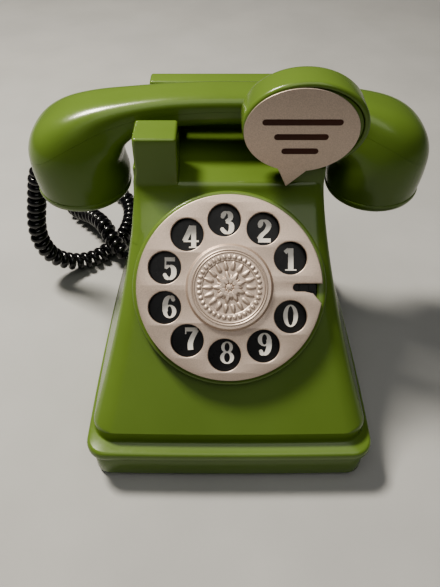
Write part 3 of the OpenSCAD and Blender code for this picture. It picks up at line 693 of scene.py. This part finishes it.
def bars():
    """Plain rules where the sign carries its three printed lines."""
    for name, y, width in (("top_rule", 5.1, 38), ("middle_rule", -2.6, 26), ("low_rule", -10.3, 18)):
        r = 1.5
        loop = arc(width / 2 - r, y, r, -90, 90, 8) + arc(-width / 2 + r, y, r, 90, 270, 8)
        rule = outline_piece(name, [loop], 0.8, 0.98, 0.05, "brown_print", PLATE_TURN)
        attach(rule, "base")
        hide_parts("bubble_bars")


# ---------- handset ----------

HANDLE_Y, CUP_X, RIM_Z = 48.5, 84, 106
SHELL_T = 2.5
SEAM_GAP = 0.08
STATIONS = [
    (0, 163, 0, 146, 12.5, 0.6), (28, 162.2, 27, 144.2, 12.5, 0.6), (52, 160, 45, 141, 14, 0.6),
    (74, 157, 54.5, 135.5, 17.5, 0.64), (92, 151.8, 58, 129, 22, 0.7), (104, 144, 59.5, 124, 25, 0.78),
    (110.5, 133, 58.5, 119, 26.8, 0.88), (111.8, 120, 57, 113, 27.2, 0.96), (110.5, 106, 57.5, 106, 26.5, 1),
]


class Station(tuple):
    """Outer x and z, inner x and z, half depth and roundness, which can be mixed."""

    def __add__(self, other):
        return Station(a + b for a, b in zip(self, other))

    def __sub__(self, other):
        return Station(a - b for a, b in zip(self, other))

    def __rmul__(self, k):
        return Station(k * a for a in self)


def handset_rings(inset, steps=6, sides=96):
    half = []
    for i in range(len(STATIONS) - 1):
        a, b, c, d = (Station(STATIONS[max(0, min(len(STATIONS) - 1, i + k))]) for k in (-1, 0, 1, 2))
        if i == 0:
            a = Station((-STATIONS[1][0], STATIONS[1][1], -STATIONS[1][2], *STATIONS[1][3:]))
        for k in range(steps):
            t = k / steps
            half.append(0.5 * (2 * b + t * (c - a) + (t * t) * (2 * a - 5 * b + 4 * c - d)
                               + (t ** 3) * (3 * b - a - 3 * c + d)))
    half.append(Station(STATIONS[-1]))

    def ring(station, side):
        outer, inner = Vector((station[0], station[1])), Vector((station[2], station[3]))
        mid, reach = (outer + inner) / 2, (outer - inner) / 2
        keep = (reach.length - inset) / reach.length
        out = []
        for i in range(sides):
            a = math.tau * i / sides
            u = math.copysign(abs(math.cos(a)) ** station[5], math.cos(a)) * keep
            v = math.copysign(abs(math.sin(a)) ** station[5], math.sin(a)) * (station[4] - inset)
            out.append((side * (mid.x + reach.x * u), HANDLE_Y + v, mid.y + reach.y * u))
        return out

    return [ring(s, -1) for s in reversed(half[1:])] + [ring(s, 1) for s in half]


SEAM = [(-116, 122), (-100, 131), (-85, 139.5), (-64, 147.5), (-40, 152.5), (0, 155.5),
        (40, 152.5), (64, 147.5), (85, 139.5), (100, 131), (116, 122)]


def under_seam(name, drop):
    line = spline_through([(x, z, 0) for x, z in SEAM], 5)
    ring = [(-130, 80)] + [(p.x, p.y - drop) for p in line] + [(130, 80)]
    return make(name, *loft([[(x, y, z) for x, z in ring] for y in (0, 100)]), "green_plastic")


def handset_hollow():
    return make("hollow", *loft(handset_rings(SHELL_T)), "green_plastic")


def handset():
    upper = make("handset_top", *loft(handset_rings(0)), "green_plastic")
    lower = make("handset_bottom", *loft(handset_rings(0)), "green_plastic")
    mod = lower.modifiers.new("keep", "BOOLEAN")
    prism = under_seam("prism", SEAM_GAP)
    mod.operation, mod.solver, mod.object = "INTERSECT", "EXACT", prism
    apply_modifiers(lower)
    bpy.data.objects.remove(prism)
    cut(upper, [handset_hollow(), under_seam("prism", 0)], "DIFFERENCE")
    cut(lower, [handset_hollow()], "DIFFERENCE")
    for piece, node in ((upper, "handset_upper_shell"), (lower, "handset_lower_shell")):
        finish_mesh(piece, "green_plastic", 45)
        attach(piece, "handset")
        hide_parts(node)


def cup_cap(name, side, holes, node):
    profile = [(0, -8.5), (8, -8.45), (15, -8.1), (20, -7.3), (23.5, -6.0), (25.6, -4.2), (26.7, -2.2),
               (26.95, -0.9), (26.8, -0.2), (26.4, 0), (22, 0), (22, 4.6), (19.8, 4.6), (19.8, -5.6),
               (0, -6.2)]
    place = Matrix.Translation((side * CUP_X, HANDLE_Y, RIM_Z))
    cap = lathe(name, profile, "green_plastic", place, 96)
    drills = [lathe("drill", [(0, -20), (1.3, -20), (1.3, 0), (0, 0)], "green_plastic",
                    place @ Matrix.Translation((r * math.cos(a), r * math.sin(a), 0)), 20)
              for r, a in [(0, 0)] + [(9, math.tau * i / holes) for i in range(holes)]]
    cut(cap, drills, "DIFFERENCE")
    finish_mesh(cap, "green_plastic", 38)
    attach(cap, "handset")
    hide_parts(node)


# ---------- making ----------

look()
curled_cord()
dress_frame()
upper_housing()
base_tray()
dial_ring()
finger_wheel()
medallion()
sign()
bubble()
bars()
handset()
cup_cap("ear_dome", 1, 8, "ear_cap")
cup_cap("mouth_dome", -1, 6, "mouth_cap")

FLOOR = 1500
floor = make("floor", [(-FLOOR, -FLOOR, 0), (FLOOR, -FLOOR, 0), (FLOOR, FLOOR, 0), (-FLOOR, FLOOR, 0)],
             [(0, 1, 2, 3)], "pale_floor")
